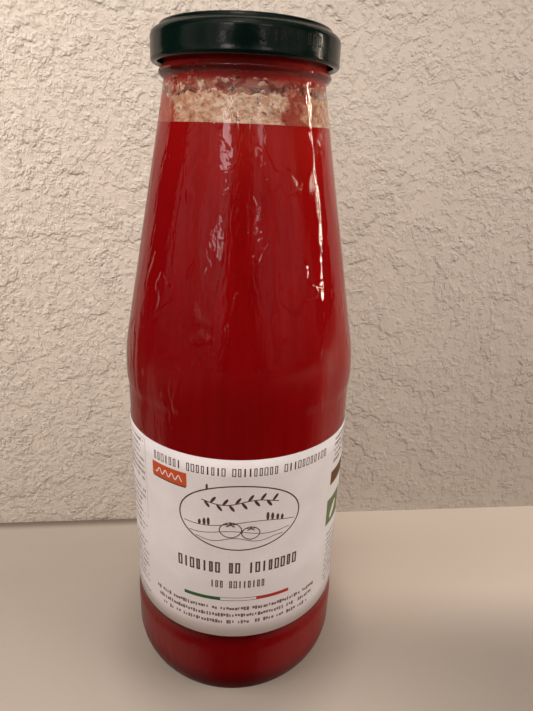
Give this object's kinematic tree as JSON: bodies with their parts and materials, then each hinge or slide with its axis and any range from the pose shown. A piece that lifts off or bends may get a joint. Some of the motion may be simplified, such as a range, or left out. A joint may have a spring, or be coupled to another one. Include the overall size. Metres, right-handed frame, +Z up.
{
  "type": "passata bottle",
  "caption": "Clear glass bottle of tomato passata with a rounded heel, a recessed label panel, a long tapered neck, a dark green twist-off lid and a paper wrap label.",
  "frame": {"origin": "centre of the foot, on the surface the bottle stands on", "axes": "+Z up along the bottle's axis, -Y out of the label's front, +X towards the label's right-hand end as seen from the front"},
  "size_m": [0.0794, 0.0794, 0.2252],
  "materials": {
    "glass": "clear gloss",
    "lid": "dark green gloss lacquer",
    "passata": "wet, smooth tomato passata",
    "froth": "dull dried froth",
    "label": "coated paper with printed fields of colour"
  },
  "bodies": {
    "root": {"bottle": "glass", "lid": "lid", "passata": "passata", "froth": "froth", "label": "label"}
  },
  "joints": []
}
